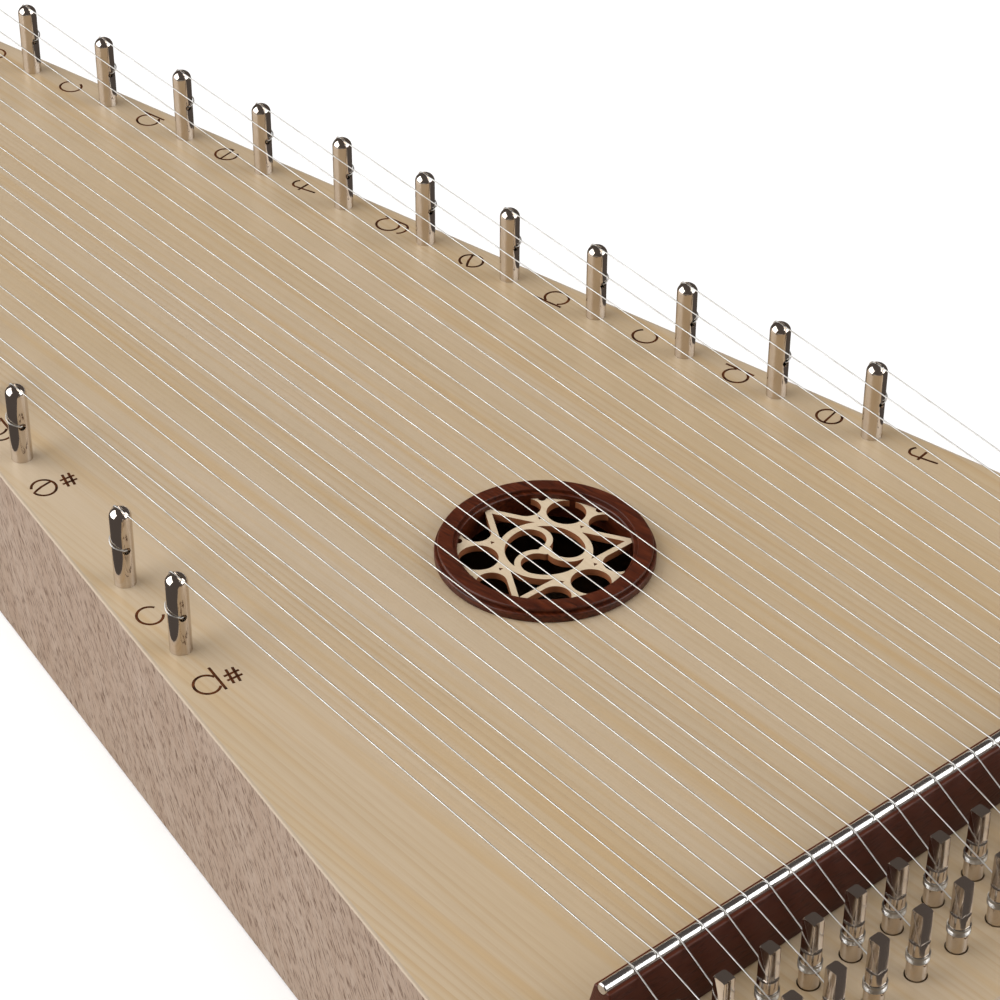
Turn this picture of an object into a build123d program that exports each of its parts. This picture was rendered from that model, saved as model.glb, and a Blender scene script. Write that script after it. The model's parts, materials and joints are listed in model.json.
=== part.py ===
from build123d import *
import os
from math import asin, atan2, cos, radians, sin, tan, degrees

# Bowed psaltery: a flat triangular box strung with steel wires.
# Frame: X across the box (+X is the naturals' side), Y along its axis towards the
# narrow end, Z up from the underside of the back. Millimetres.

# ---- Box ----
body_length = 814.0
base_width = 292.0
apex_width = 12.2
body_height = 56.0
board_thickness = 3.0
back_thickness = 3.0
veneer_thickness = 1.0
arris_radius = 0.6
rail_width = 18.0
pin_block_depth = 41.0
apex_block_length = 95.0

# ---- Bars glued inside the box (distances are from the wide end) ----
board_bar_width = 7.0
board_bar_height = 16.0
board_bar_places = (116.0, 268.0, 420.0)
back_bar_width = 9.0
back_bar_height = 10.0
back_bar_places = (190.0, 350.0)

# ---- Sound hole, its ring and the rosette ----
rosette_from_base = 192.0
ring_wall = 6.2
ring_height = 4.0
ring_upper_bead_inset = 0.8
ring_bead_radius = 0.7
ring_quirk_height = 2.5
ring_quirk_depth = 0.4
ring_quirk_slope = 0.4
ring_spigot_wall = 3.2
ring_spigot_reach = 1.5
ring_ledge_width = 1.1
ring_ledge_depth = 1.0
rosette_radius = 23.8
rosette_drop = 2.6
rosette_thickness = 2.0
rosette_stroke = 1.7
fretwork_radius = 23.8
rosette_hub_radius = 12.9
hub_wall_extra = 0.2
comma_head_radius = 4.6
comma_centre_radius = 1.8
petal_radius = 5.5
petal_centre = 18.35
corner_petal_radius = 4.15
eyelet_radius = 0.75
eyelet_place = (13.4, 6.0)
rim_notch_radius = 1.1
rim_notch_angle = 20.5

# ---- Strings ----
wire_radius = 0.2
string_pitch = 6.96
natural_count = 18
sharp_count = 12
string_height_at_bridge = 17.0

# ---- Hitch pins ----
hitch_pin_radius = 3.05
hitch_pin_height = 24.3
hitch_pin_depth = 24.0
hitch_dome_height = 2.7
hitch_slot_width = 0.9
hitch_slot_depth = 1.0
slot_wire_clearance = 0.3
dome_shoulder_out = 0.72
dome_shoulder_up = 0.74
hitch_hole_radius = 1.0
hitch_hole_height = 12.0
lowest_natural_from_apex = 22.8
hitch_pitch_growth = 0.0004
top_natural_from_base = 174.0
natural_row_margin = 7.9
sharp_row_margin = 9.2
hitch_bore_clearance = 0.02
wire_pin_clearance = 0.05
wire_shoulder_rise = 0.75
wire_slot_start = 0.8
wire_tail_reach = 1.2
wire_bend_radii = (0.4, 0.6, 0.6)

# ---- Bridge ----
bridge_from_base = 50.0
bridge_overhang = 9.0
bridge_foot_width = 11.0
bridge_foot_height = 3.0
bridge_top_width = 5.0
bridge_rod_radius = 1.5
rod_chamfer = 0.3
rod_string_clearance = 0.02

# ---- Tuning pins ----
front_row_from_base = 32.0
rear_row_from_base = 18.0
tuning_pin_radius = 2.5
tuning_pin_height = 20.0
tuning_pin_depth = 26.0
tuning_pin_tip = 0.8
tuning_bore_spare = 2.0
tuning_square = 3.5
tuning_square_height = 9.0
tuning_square_chamfer = 0.4
tuning_bore_clearance = 0.05
board_hole_clearance = 0.3
winding_turns = 4
winding_height = 6.0
winding_string_clearance = 0.05
tuning_eye_radius = 0.6
eye_below_winding = 1.2

# A cutter for a slot or a cross hole runs this much past the pin it goes through.
cut_past = 1.1

# ---- Worked out from the sizes above ----
y_base = -body_length / 2
y_apex = body_length / 2
taper = (base_width - apex_width) / 2 / body_length
edge_angle = degrees(atan2(taper, 1.0))
edge_cos = cos(radians(edge_angle))
z_board = body_height
z_under_board = body_height - board_thickness
z_inside = back_thickness
rail_inset = veneer_thickness + rail_width
y_block = y_base + veneer_thickness + pin_block_depth
y_wedge = y_apex - veneer_thickness - apex_block_length
y_bridge = y_base + bridge_from_base
y_front_row = y_base + front_row_from_base
y_rear_row = y_base + rear_row_from_base
rosette_place = (0.0, y_base + rosette_from_base)
ring_radius = rosette_radius + ring_wall
ring_mouth_radius = rosette_radius + ring_ledge_width
ring_spigot_radius = rosette_radius + ring_spigot_wall
fretwork_scale = rosette_radius / fretwork_radius
natural_row_length = body_length - top_natural_from_base - lowest_natural_from_apex
string_count = natural_count + sharp_count
z_rod = z_board + string_height_at_bridge - wire_radius - bridge_rod_radius
z_slot_bottom = z_board + hitch_pin_height - hitch_slot_depth
z_slot_string = z_slot_bottom + wire_radius + slot_wire_clearance
rod_contact_radius = bridge_rod_radius + wire_radius + rod_string_clearance
winding_length = 2 * wire_radius * winding_turns
winding_outer_radius = tuning_pin_radius + 2 * wire_radius
z_winding_top = z_board + winding_height + winding_length
z_string_end = z_winding_top + wire_radius + winding_string_clearance
string_to_pin_axis = tuning_pin_radius + wire_radius + winding_string_clearance


def half_width(y, inset=0.0):
    """Distance from the axis to the edge at y, or to a line inset squarely from it."""
    return apex_width / 2 + (y_apex - y) * taper - inset / edge_cos


def band(y_low, y_high, inset):
    """Corners of the tapering outline between two stations, inset from both edges."""
    low = half_width(y_low, inset)
    high = half_width(y_high, inset)
    return [(-low, y_low), (low, y_low), (high, y_high), (-high, y_high)]


def side_strip(side, y_low, y_high, outer_inset, inner_inset):
    """Corners of a strip along one edge; side is +1 for the naturals, -1 for the sharps."""
    corners = [
        (side * half_width(y_low, outer_inset), y_low),
        (side * half_width(y_high, outer_inset), y_high),
        (side * half_width(y_high, inner_inset), y_high),
        (side * half_width(y_low, inner_inset), y_low),
    ]
    return corners if side < 0 else corners[::-1]


def row_steps(steps):
    """Distance along a row in pitches: the gaps widen towards the narrow end."""
    return steps + hitch_pitch_growth * steps**3


def hitch_place(side, index, margin):
    """Centre of a hitch pin; index 0 is the longest natural, nearest the narrow end."""
    pitch = natural_row_length / row_steps(natural_count - 1)
    y = y_base + top_natural_from_base + pitch * row_steps(natural_count - 1 - index)
    return (side * (half_width(y) - margin), y)


def bridge_place(number):
    """Where string number 0..29 crosses the bridge, counted from the sharps' side."""
    return ((number - (string_count - 1) / 2) * string_pitch, y_bridge)


# The sharps' pins stand opposite the middles of the gaps in the naturals' row.
# In scale order each octave has its sharps between c-d, d-e, f-g, g-a and a-b.
scale_steps = (0.5, 1.5, 3.5, 4.5, 5.5)
octave_steps = 7
natural_places = [hitch_place(+1, index, natural_row_margin) for index in range(natural_count)]
sharp_steps = [
    octave_steps * (index // len(scale_steps)) + scale_steps[index % len(scale_steps)]
    for index in range(sharp_count)
]
sharp_places = [hitch_place(-1, step, sharp_row_margin) for step in sharp_steps]
hitch_places = natural_places + sharp_places
# The longest sharp string lies next to the longest natural one, at the middle.
sharp_numbers = [sharp_count - 1 - index for index in range(sharp_count)]
natural_numbers = [sharp_count + index for index in range(natural_count)]


def string_line(hitch, number):
    """Direction of a string in plan, and its distances to the bridge and its tuning pin."""
    bridge = bridge_place(number)
    span = Vector(bridge[0] - hitch[0], bridge[1] - hitch[1], 0)
    heading = span.normalized()
    y_row = y_front_row if number % 2 == 0 else y_rear_row
    reach = (y_row - hitch[1]) / heading.Y
    return heading, span.length, reach


def tuning_place(hitch, number):
    """Centre of the tuning pin: the string passes it on the +X side."""
    heading, _, reach = string_line(hitch, number)
    aside = Vector(heading.Y, -heading.X, 0) * string_to_pin_axis
    return (hitch[0] + heading.X * reach + aside.X, hitch[1] + heading.Y * reach + aside.Y)


def tangent_slope(point, centre, radius):
    """Slope of the line from a point over the top of a round rod."""
    run = abs(centre[0] - point[0])
    rise = centre[1] - point[1]
    return tan(atan2(rise, run) + asin(radius / (run * run + rise * rise) ** 0.5))


def string_points(bridge_reach, end_reach):
    """The wire's corners in its own upright plane: distance along it, and height."""
    behind = hitch_pin_radius + wire_radius + wire_pin_clearance
    z_hole = z_board + hitch_hole_height
    z_shoulder = z_board + hitch_pin_height - hitch_dome_height + wire_shoulder_rise
    start = (-wire_slot_start * hitch_pin_radius, z_slot_string)
    end = (end_reach, z_string_end)
    rod = (bridge_reach, z_rod)
    slope_in = tangent_slope(start, rod, rod_contact_radius)
    slope_out = tangent_slope(end, rod, rod_contact_radius)
    u = (end[1] + slope_out * end[0] - start[1] + slope_in * start[0]) / (slope_in + slope_out)
    over_rod = (u, start[1] + slope_in * (u - start[0]))
    tail = (-wire_tail_reach, z_hole)
    return [tail, (-behind, z_hole), (-behind, z_shoulder), start, over_rod, end]


def plate(corners, z_low, height):
    """A flat-sided prism standing on z_low."""
    with BuildPart(mode=Mode.PRIVATE) as prism:
        with BuildSketch(Plane.XY.offset(z_low)):
            with BuildLine():
                Polyline(*corners, close=True)
            make_face()
        extrude(amount=height)
    return prism.part


def finish(part, label):
    """Name a piece and write it."""
    part.label = label
    export_step(part, f"parts/{label}.step")


os.makedirs("parts", exist_ok=True)

# ---- Soundboard: spruce, with the sound hole and the pins' holes ----
board_outline = band(y_base + veneer_thickness, y_apex - veneer_thickness, veneer_thickness)
natural_tuning = [tuning_place(p, n) for p, n in zip(natural_places, natural_numbers)]
sharp_tuning = [tuning_place(p, n) for p, n in zip(sharp_places, sharp_numbers)]
tuning_places = sharp_tuning[::-1] + natural_tuning

with BuildPart() as soundboard:
    with BuildSketch(Plane.XY.offset(z_under_board)):
        with BuildLine():
            Polyline(*board_outline, close=True)
        make_face()
        with Locations(rosette_place):
            Circle(ring_spigot_radius, mode=Mode.SUBTRACT)
        with Locations(*hitch_places):
            Circle(hitch_pin_radius + hitch_bore_clearance, mode=Mode.SUBTRACT)
        with Locations(*tuning_places):
            Circle(tuning_pin_radius + board_hole_clearance, mode=Mode.SUBTRACT)
    extrude(amount=board_thickness)
finish(soundboard.part, "soundboard")

# ---- Back ----
with BuildPart() as back_plate:
    with BuildSketch():
        with BuildLine():
            Polyline(*board_outline, close=True)
        make_face()
    extrude(amount=back_thickness)
finish(back_plate.part, "back_plate")

# ---- Veneered faces of the four sides, from the underside to the top ----
for side, label in ((-1, "side_veneer_left"), (1, "side_veneer_right")):
    with BuildPart() as side_veneer:
        with BuildSketch():
            with BuildLine():
                Polyline(*side_strip(side, y_base, y_apex, 0.0, veneer_thickness), close=True)
            make_face()
        extrude(amount=body_height)
        top_edges = side_veneer.edges().group_by(Axis.Z)[-1]
        outer_top = top_edges.filter_by(lambda e: e.length > body_length / 2)
        outer_top = outer_top.sort_by(lambda e: side * e.center().X)[-1]
        fillet(outer_top, radius=arris_radius)
    finish(side_veneer.part, label)

for y_low, label in ((y_base, "base_veneer"), (y_apex - veneer_thickness, "apex_veneer")):
    with BuildPart() as end_veneer:
        with BuildSketch():
            with BuildLine():
                Polyline(*band(y_low, y_low + veneer_thickness, veneer_thickness), close=True)
            make_face()
        extrude(amount=body_height)
        top_edges = end_veneer.edges().group_by(Axis.Z)[-1].sort_by(Axis.Y)
        fillet(top_edges[0] if y_low < 0 else top_edges[-1], radius=arris_radius)
    finish(end_veneer.part, label)

# ---- Solid blocks and rails behind the veneer ----
inner_height = z_under_board - z_inside
pin_bottom = z_board - hitch_pin_depth


def drilled(block, places, radius, z_bottom):
    """A block with round holes down to z_bottom at the places that fall inside it."""
    inside = [p for p in places if block.is_inside((p[0], p[1], block.center().Z))]
    with BuildPart(mode=Mode.PRIVATE) as work:
        add(block)
        if inside:
            with BuildSketch(Plane.XY.offset(z_bottom)):
                with Locations(*inside):
                    Circle(radius)
            extrude(amount=z_board - z_bottom, mode=Mode.SUBTRACT)
    return work.part


hitch_bore = hitch_pin_radius + hitch_bore_clearance
for side, label in ((-1, "side_rail_left"), (1, "side_rail_right")):
    strip = side_strip(side, y_block, y_wedge, veneer_thickness, rail_inset)
    with BuildPart() as side_rail:
        add(drilled(plate(strip, z_inside, inner_height), hitch_places, hitch_bore, pin_bottom))
    finish(side_rail.part, label)

wedge = band(y_wedge, y_apex - veneer_thickness, veneer_thickness)
with BuildPart() as apex_block:
    add(drilled(plate(wedge, z_inside, inner_height), hitch_places, hitch_bore, pin_bottom))
finish(apex_block.part, "apex_block")

block_outline = band(y_base + veneer_thickness, y_block, veneer_thickness)
tuning_bore = tuning_pin_radius + tuning_bore_clearance
tuning_bottom = z_board - tuning_pin_depth
with BuildPart() as pin_block:
    add(drilled(plate(block_outline, z_inside, inner_height), tuning_places, tuning_bore,
                tuning_bottom - tuning_bore_spare))
finish(pin_block.part, "pin_block")

# ---- Bars that stiffen the soundboard and the back ----
for index, place in enumerate(board_bar_places):
    y = y_base + place
    with BuildPart() as board_bar:
        add(plate(band(y - board_bar_width / 2, y + board_bar_width / 2, rail_inset),
                  z_under_board - board_bar_height, board_bar_height))
        chamfer(board_bar.edges().filter_by(Axis.X).group_by(Axis.Z)[0], length=board_bar_width / 4)
    finish(board_bar.part, f"soundboard_bar_{index + 1}")

for index, place in enumerate(back_bar_places):
    y = y_base + place
    with BuildPart() as back_bar:
        add(plate(band(y - back_bar_width / 2, y + back_bar_width / 2, rail_inset),
                  z_inside, back_bar_height))
        chamfer(back_bar.edges().filter_by(Axis.X).group_by(Axis.Z)[-1], length=back_bar_width / 4)
    finish(back_bar.part, f"back_bar_{index + 1}")

# ---- Turned ring: a flange with two beads on the board, and a spigot through it ----
ring_centre = (*rosette_place, z_board)
ring_plane = Plane(origin=ring_centre, x_dir=(1, 0, 0), z_dir=(0, -1, 0))
z_spigot = -board_thickness - ring_spigot_reach
z_ledge = ring_height - ring_ledge_depth
upper_bead = ring_radius - ring_upper_bead_inset
quirk = upper_bead - ring_quirk_depth
with BuildPart() as rosette_ring:
    with BuildSketch(ring_plane):
        with BuildLine():
            Polyline(
                (upper_bead - ring_bead_radius, ring_height),
                (ring_mouth_radius, ring_height),
                (ring_mouth_radius, z_ledge),
                (rosette_radius, z_ledge),
                (rosette_radius, z_spigot),
                (ring_spigot_radius, z_spigot),
                (ring_spigot_radius, 0),
                (ring_radius, 0),
                (ring_radius, ring_quirk_height - ring_bead_radius),
            )
            RadiusArc(
                (ring_radius, ring_quirk_height - ring_bead_radius),
                (quirk, ring_quirk_height),
                -2 * ring_bead_radius,
            )
            Polyline(
                (quirk, ring_quirk_height),
                (upper_bead, ring_quirk_height + ring_quirk_slope),
                (upper_bead, ring_height - ring_bead_radius),
            )
            RadiusArc(
                (upper_bead, ring_height - ring_bead_radius),
                (upper_bead - ring_bead_radius, ring_height),
                -ring_bead_radius,
            )
        make_face()
    revolve(axis=Axis(ring_centre, (0, 0, 1)))
finish(rosette_ring.part, "rosette_ring")

# ---- Rosette: a fretted disc; a triangle, a hub of three commas, and nine petals ----
hub_inner = rosette_hub_radius - rosette_stroke - hub_wall_extra
comma_distance = hub_inner - comma_head_radius
comma_guard = comma_head_radius + rosette_stroke
side_inner = hub_inner
side_outer = side_inner + rosette_stroke
corner_petal_centre = (
    side_outer + corner_petal_radius,
    (fretwork_radius**2 - (side_outer + 2 * corner_petal_radius) ** 2) ** 0.5,
)
arm_angles = (90.0, 210.0, 330.0)
side_angles = (30.0, 150.0, 270.0)
reach = 2 * fretwork_radius


def turned(sketch, angle):
    """A part of the fretwork, scaled to the disc and turned about its centre."""
    return Rot(0, 0, angle) * sketch.scale(fretwork_scale)


with BuildSketch(mode=Mode.PRIVATE) as comma:
    with BuildLine():
        Polyline((0, 0), (reach, 0), (reach * cos(radians(60)), reach * sin(radians(60))),
                 (reach * cos(radians(120)), reach * sin(radians(120))), close=True)
    make_face()
    Circle(hub_inner, mode=Mode.INTERSECT)
    with Locations((comma_distance * cos(radians(120)), comma_distance * sin(radians(120)))):
        Circle(comma_guard, mode=Mode.SUBTRACT)
    Circle(comma_centre_radius, mode=Mode.SUBTRACT)
    with Locations((comma_distance, 0)):
        Circle(comma_head_radius)

with BuildSketch(mode=Mode.PRIVATE) as corner_gap:
    RegularPolygon(side_inner, 3, major_radius=False, rotation=90)
    Circle(rosette_hub_radius, mode=Mode.SUBTRACT)

with BuildSketch(mode=Mode.PRIVATE) as side_petals:
    with Locations((petal_centre, 0)):
        Circle(petal_radius)
    for hand in (-1, 1):
        with Locations((corner_petal_centre[0], hand * corner_petal_centre[1])):
            Circle(corner_petal_radius)
        with Locations((side_outer + reach / 2, hand * (corner_petal_centre[1] + reach / 2))):
            Rectangle(reach, reach)
        with Locations((eyelet_place[0], hand * eyelet_place[1])):
            RegularPolygon(eyelet_radius, 3, rotation=180)
        with PolarLocations(fretwork_radius, 1, start_angle=hand * rim_notch_angle):
            Circle(rim_notch_radius)

with BuildPart() as rosette:
    with BuildSketch(Plane((*rosette_place, z_board + ring_height - rosette_drop))):
        Circle(rosette_radius)
        add(turned(corner_gap.sketch, 0.0), mode=Mode.SUBTRACT)
        for angle in arm_angles:
            add(turned(comma.sketch, angle - 120), mode=Mode.SUBTRACT)
        for angle in side_angles:
            add(turned(side_petals.sketch, angle), mode=Mode.SUBTRACT)
    extrude(amount=-rosette_thickness)
finish(rosette.part, "rosette")

# ---- Bridge: a tapered bar that carries a steel rod ----
bridge_length = (string_count - 1) * string_pitch + 2 * bridge_overhang
bridge_plane = Plane(origin=(-bridge_length / 2, y_bridge, z_board), x_dir=(0, 1, 0), z_dir=(1, 0, 0))
rod_height = z_rod - z_board
with BuildPart() as bridge:
    with BuildSketch(bridge_plane):
        with BuildLine():
            Polyline(
                (-bridge_foot_width / 2, 0),
                (bridge_foot_width / 2, 0),
                (bridge_foot_width / 2, bridge_foot_height),
                (bridge_top_width / 2, rod_height),
                (-bridge_top_width / 2, rod_height),
                (-bridge_foot_width / 2, bridge_foot_height),
                close=True,
            )
        make_face()
        with Locations((0, rod_height)):
            Circle(bridge_rod_radius, mode=Mode.SUBTRACT)
    extrude(amount=bridge_length)
finish(bridge.part, "bridge")

with BuildPart() as bridge_rod:
    with BuildSketch(bridge_plane):
        with Locations((0, rod_height)):
            Circle(bridge_rod_radius)
    extrude(amount=bridge_length)
    chamfer(bridge_rod.edges(), length=rod_chamfer)
finish(bridge_rod.part, "bridge_rod")

# ---- Hitch pin: domed, slotted across the dome and drilled for the wire's end ----
hitch_shoulder = hitch_pin_height - hitch_dome_height
hitch_cut = 2 * cut_past * hitch_pin_radius
with BuildPart(mode=Mode.PRIVATE) as hitch_pin:
    with BuildSketch(Plane.XZ):
        with BuildLine():
            Polyline(
                (0, hitch_pin_height),
                (0, -hitch_pin_depth),
                (hitch_pin_radius, -hitch_pin_depth),
                (hitch_pin_radius, hitch_shoulder),
            )
            ThreePointArc(
                (hitch_pin_radius, hitch_shoulder),
                (hitch_pin_radius * dome_shoulder_out,
                 hitch_shoulder + hitch_dome_height * dome_shoulder_up),
                (0, hitch_pin_height),
            )
        make_face()
    revolve(axis=Axis.Z)
    with Locations((0, 0, hitch_pin_height)):
        Box(hitch_slot_width, hitch_cut, 2 * hitch_slot_depth, mode=Mode.SUBTRACT)
    with Locations((0, 0, hitch_hole_height)):
        Cylinder(hitch_hole_radius, hitch_cut, rotation=(90, 0, 0), mode=Mode.SUBTRACT)


def strings_and_pins(places, numbers, pins_label, strings_label):
    """One side's hitch pins, each turned to its string, and that side's strings."""
    with BuildPart() as pins:
        for place, number in zip(places, numbers):
            heading, _, _ = string_line(place, number)
            with Locations(Location((*place, z_board), (0, 0, degrees(atan2(heading.X, -heading.Y))))):
                add(hitch_pin.part)
    finish(pins.part, pins_label)

    with BuildPart() as strings:
        for place, number in zip(places, numbers):
            heading, bridge_reach, end_reach = string_line(place, number)
            upright = Plane(origin=(*place, 0), x_dir=heading, z_dir=heading.cross(Vector(0, 0, 1)))
            corners = string_points(bridge_reach, end_reach)
            with BuildLine(upright) as route:
                FilletPolyline(*corners, radius=(*wire_bend_radii, rod_contact_radius))
            with BuildSketch(route.line ^ 0):
                Circle(wire_radius)
            sweep()
    finish(strings.part, strings_label)


strings_and_pins(natural_places, natural_numbers, "natural_hitch_pins", "natural_strings")
strings_and_pins(sharp_places, sharp_numbers, "sharp_hitch_pins", "sharp_strings")

# ---- Tuning pins: square-headed, each with the turns of wire wound on it ----
square_bottom = tuning_pin_height - tuning_square_height
tuning_cut = 2 * cut_past * tuning_pin_radius
with BuildPart(mode=Mode.PRIVATE) as tuning_pin:
    with Locations((0, 0, -tuning_pin_depth)):
        Cylinder(tuning_pin_radius, tuning_pin_depth + square_bottom,
                 align=(Align.CENTER, Align.CENTER, Align.MIN))
    chamfer(tuning_pin.edges().sort_by(Axis.Z)[0], length=tuning_pin_tip)
    with BuildSketch(Plane.XY.offset(square_bottom)):
        Rectangle(tuning_square, tuning_square)
    extrude(amount=tuning_square_height)
    chamfer(tuning_pin.faces().sort_by(Axis.Z)[-1].edges(), length=tuning_square_chamfer)
    with Locations((0, 0, winding_height - eye_below_winding)):
        Cylinder(tuning_eye_radius, tuning_cut, rotation=(90, 0, 0), mode=Mode.SUBTRACT)

with BuildPart(mode=Mode.PRIVATE) as winding:
    with BuildSketch(Plane.XY.offset(winding_height)):
        Circle(winding_outer_radius)
        Circle(tuning_pin_radius, mode=Mode.SUBTRACT)
    extrude(amount=winding_length)

for index, place in enumerate(tuning_places):
    spot = Location((*place, z_board))
    pair = Compound(children=[spot * tuning_pin.part, spot * winding.part])
    finish(pair, f"tuning_pin_{index + 1:02d}")
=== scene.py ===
"""Bowed psaltery: fittings, strings, woods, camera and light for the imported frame.

The frame's axes are kept: X across the box, Y along it towards the narrow end and Z up.
Sizes are in metres.
"""
import json
import math

import bpy
from bpy.props import FloatProperty, FloatVectorProperty, IntProperty, PointerProperty
from mathutils import Euler, Matrix, Vector


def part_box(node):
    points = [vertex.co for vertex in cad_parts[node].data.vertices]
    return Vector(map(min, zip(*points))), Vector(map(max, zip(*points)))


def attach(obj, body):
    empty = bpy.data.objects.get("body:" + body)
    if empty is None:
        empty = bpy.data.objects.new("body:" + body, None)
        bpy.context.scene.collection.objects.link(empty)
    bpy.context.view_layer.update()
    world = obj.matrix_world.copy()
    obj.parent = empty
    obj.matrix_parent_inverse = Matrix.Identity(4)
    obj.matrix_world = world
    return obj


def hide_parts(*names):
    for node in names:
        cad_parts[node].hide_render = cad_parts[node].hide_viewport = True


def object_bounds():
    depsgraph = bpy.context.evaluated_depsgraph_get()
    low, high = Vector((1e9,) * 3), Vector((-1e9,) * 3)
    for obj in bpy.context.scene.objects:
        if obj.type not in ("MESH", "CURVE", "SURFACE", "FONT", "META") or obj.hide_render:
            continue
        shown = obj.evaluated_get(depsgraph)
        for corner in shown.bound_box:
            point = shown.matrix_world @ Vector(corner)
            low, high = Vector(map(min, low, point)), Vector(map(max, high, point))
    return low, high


bl_info = {
    "name": "Bowed Psaltery",
    "version": (1, 0, 0),
    "blender": (4, 5, 0),
    "location": "View3D > Sidebar > Psaltery",
    "description": "Dresses a bowed psaltery with its fittings, strings, woods, camera and light",
    "category": "Object",
}

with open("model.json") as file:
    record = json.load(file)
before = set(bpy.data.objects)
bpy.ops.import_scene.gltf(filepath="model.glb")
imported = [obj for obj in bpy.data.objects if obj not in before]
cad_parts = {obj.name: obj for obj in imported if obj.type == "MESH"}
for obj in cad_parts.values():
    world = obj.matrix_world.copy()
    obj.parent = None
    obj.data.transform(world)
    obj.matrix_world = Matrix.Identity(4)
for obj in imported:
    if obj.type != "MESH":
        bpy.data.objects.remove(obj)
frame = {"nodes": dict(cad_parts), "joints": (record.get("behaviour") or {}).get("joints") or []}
cad_low, cad_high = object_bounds()

MM = 0.001
BODY = "box"
NATURAL_NOTES = "cdefgab"
SHARP_NOTES = "cdfga"

board_low, board_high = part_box("soundboard")
ring_low, ring_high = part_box("rosette_ring")
rod_low, rod_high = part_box("bridge_rod")
bridge_low, bridge_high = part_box("bridge")
Z_BOARD = board_high.z
RING_CENTRE = (ring_low + ring_high) / 2
ROD_CENTRE = (rod_low + rod_high) / 2
ROD_RADIUS = (rod_high.z - rod_low.z) / 2
EDGE_SLOPE = math.atan(0.172)
EYE_BELOW_WINDING = 1.2 * MM
SLOT_CLEARANCE = 0.3 * MM
SIDE_CLEARANCE = 0.05 * MM
CONTACT_CLEARANCE = 0.02 * MM
WRAP_CLEARANCE = 0.03 * MM
QUARTER_TURN = math.radians(90)
PORES_ACROSS = 1900.0
PORES_ALONG = 300.0
LINE_FLATNESS = 0.12


def length(name, default, description):
    """A length property with its default in metres."""
    return FloatProperty(name=name, default=default, unit="LENGTH", precision=5, min=0.0,
                         description=description)


def colour(name, default, description):
    """A linear colour property."""
    return FloatVectorProperty(name=name, default=default, subtype="COLOR", size=3, min=0.0,
                               max=1.0, description=description)


class PSALTERY_PG_hitch_pin(bpy.types.PropertyGroup):
    """Sizes of the domed pins that hold the far ends of the strings."""

    radius: length("Radius", 3.05 * MM, "Half the pin's diameter")
    height: length("Height", 24.3 * MM, "Top of the dome above the soundboard")
    depth: length("Depth", 24.0 * MM, "Length of the pin below the soundboard's top")
    dome: length("Dome height", 2.7 * MM, "Height of the rounded end")
    slot_width: length("Slot width", 0.9 * MM, "Width of the slot across the dome")
    slot_depth: length("Slot depth", 1.0 * MM, "Depth of the slot from the top of the dome")
    hole_radius: length("Hole radius", 1.1 * MM, "Radius of the cross hole")
    hole_height: length("Hole height", 12.0 * MM, "Height of the cross hole above the board")
    sharp_hole_turn: FloatProperty(name="Sharp hole turn", default=math.radians(12),
                                   subtype="ANGLE",
                                   description="Turn of a sharp pin's hole towards its edge")
    natural_hole_turn: FloatProperty(name="Natural hole turn", default=math.radians(3),
                                     subtype="ANGLE",
                                     description="Turn of a natural pin's hole towards its edge")
    sides: IntProperty(name="Sides", default=80, min=24, description="Faces round the shank")


class PSALTERY_PG_tuning_pin(bpy.types.PropertyGroup):
    """Sizes of the square-headed tuning pins and the wire wound on them."""

    radius: length("Radius", 2.5 * MM, "Half the shank's diameter")
    height: length("Height", 20.0 * MM, "Top of the head above the soundboard")
    depth: length("Depth", 26.0 * MM, "Length of the pin below the soundboard's top")
    square: length("Square", 3.5 * MM, "Width of the square head across its flats")
    square_height: length("Square height", 9.0 * MM, "Height of the square head")
    winding_height: length("Winding height", 6.0 * MM, "Lowest turn above the soundboard")
    eye_radius: length("Eye radius", 0.6 * MM, "Radius of the hole the wire passes through")
    turns: IntProperty(name="Turns", default=4, min=1, description="Turns of wire on the pin")


class PSALTERY_PG_wire(bpy.types.PropertyGroup):
    """Sizes of the strings."""

    radius: length("Radius", 0.2 * MM, "Half the wire's diameter")
    wrap_rise: length("Wrap rise", 3.2 * MM, "How far the wrap climbs above the hole")
    wrap_bulge: length("Wrap bulge", 0.35 * MM, "How far the springy wrap stands off the pin")


class PSALTERY_PG_ring(bpy.types.PropertyGroup):
    """Sizes of the turned ring round the sound hole."""

    bead: length("Bead radius", 0.5 * MM, "Rounding of the ring's two beads")
    step_in: length("Step in", 0.8 * MM, "How far the upper bead stands inside the lower one")
    quirk_depth: length("Quirk depth", 0.3 * MM, "Depth of the groove between the beads")
    quirk_height: length("Quirk height", 2.4 * MM, "Height of the groove above the board")
    mouth_radius: length("Mouth radius", 24.9 * MM, "Radius of the opening at the top")
    ledge_depth: length("Ledge depth", 1.0 * MM, "Depth of the step inside the mouth")
    inner_radius: length("Inner radius", 23.8 * MM, "Radius of the wall round the rosette")
    spigot_radius: length("Spigot radius", 27.0 * MM, "Radius of the part inside the board")


class PSALTERY_PG_letters(bpy.types.PropertyGroup):
    """Sizes of the note names burnt beside the hitch pins."""

    line_radius: length("Line radius", 0.4 * MM, "Half the width of a burnt line")
    bowl_width: length("Bowl width", 6.9 * MM, "Width of a letter's round part")
    bowl_height: length("Bowl height", 7.6 * MM, "Height of a letter's round part")
    natural_gap: length("Natural gap", 18.6 * MM, "From a natural's pin to its letter")
    sharp_gap: length("Sharp gap", 16.6 * MM, "From a sharp's pin to its letter")
    sharp_outset: length("Sharp outset", 0.9 * MM, "How far a sharp's letter is off its row")


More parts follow.
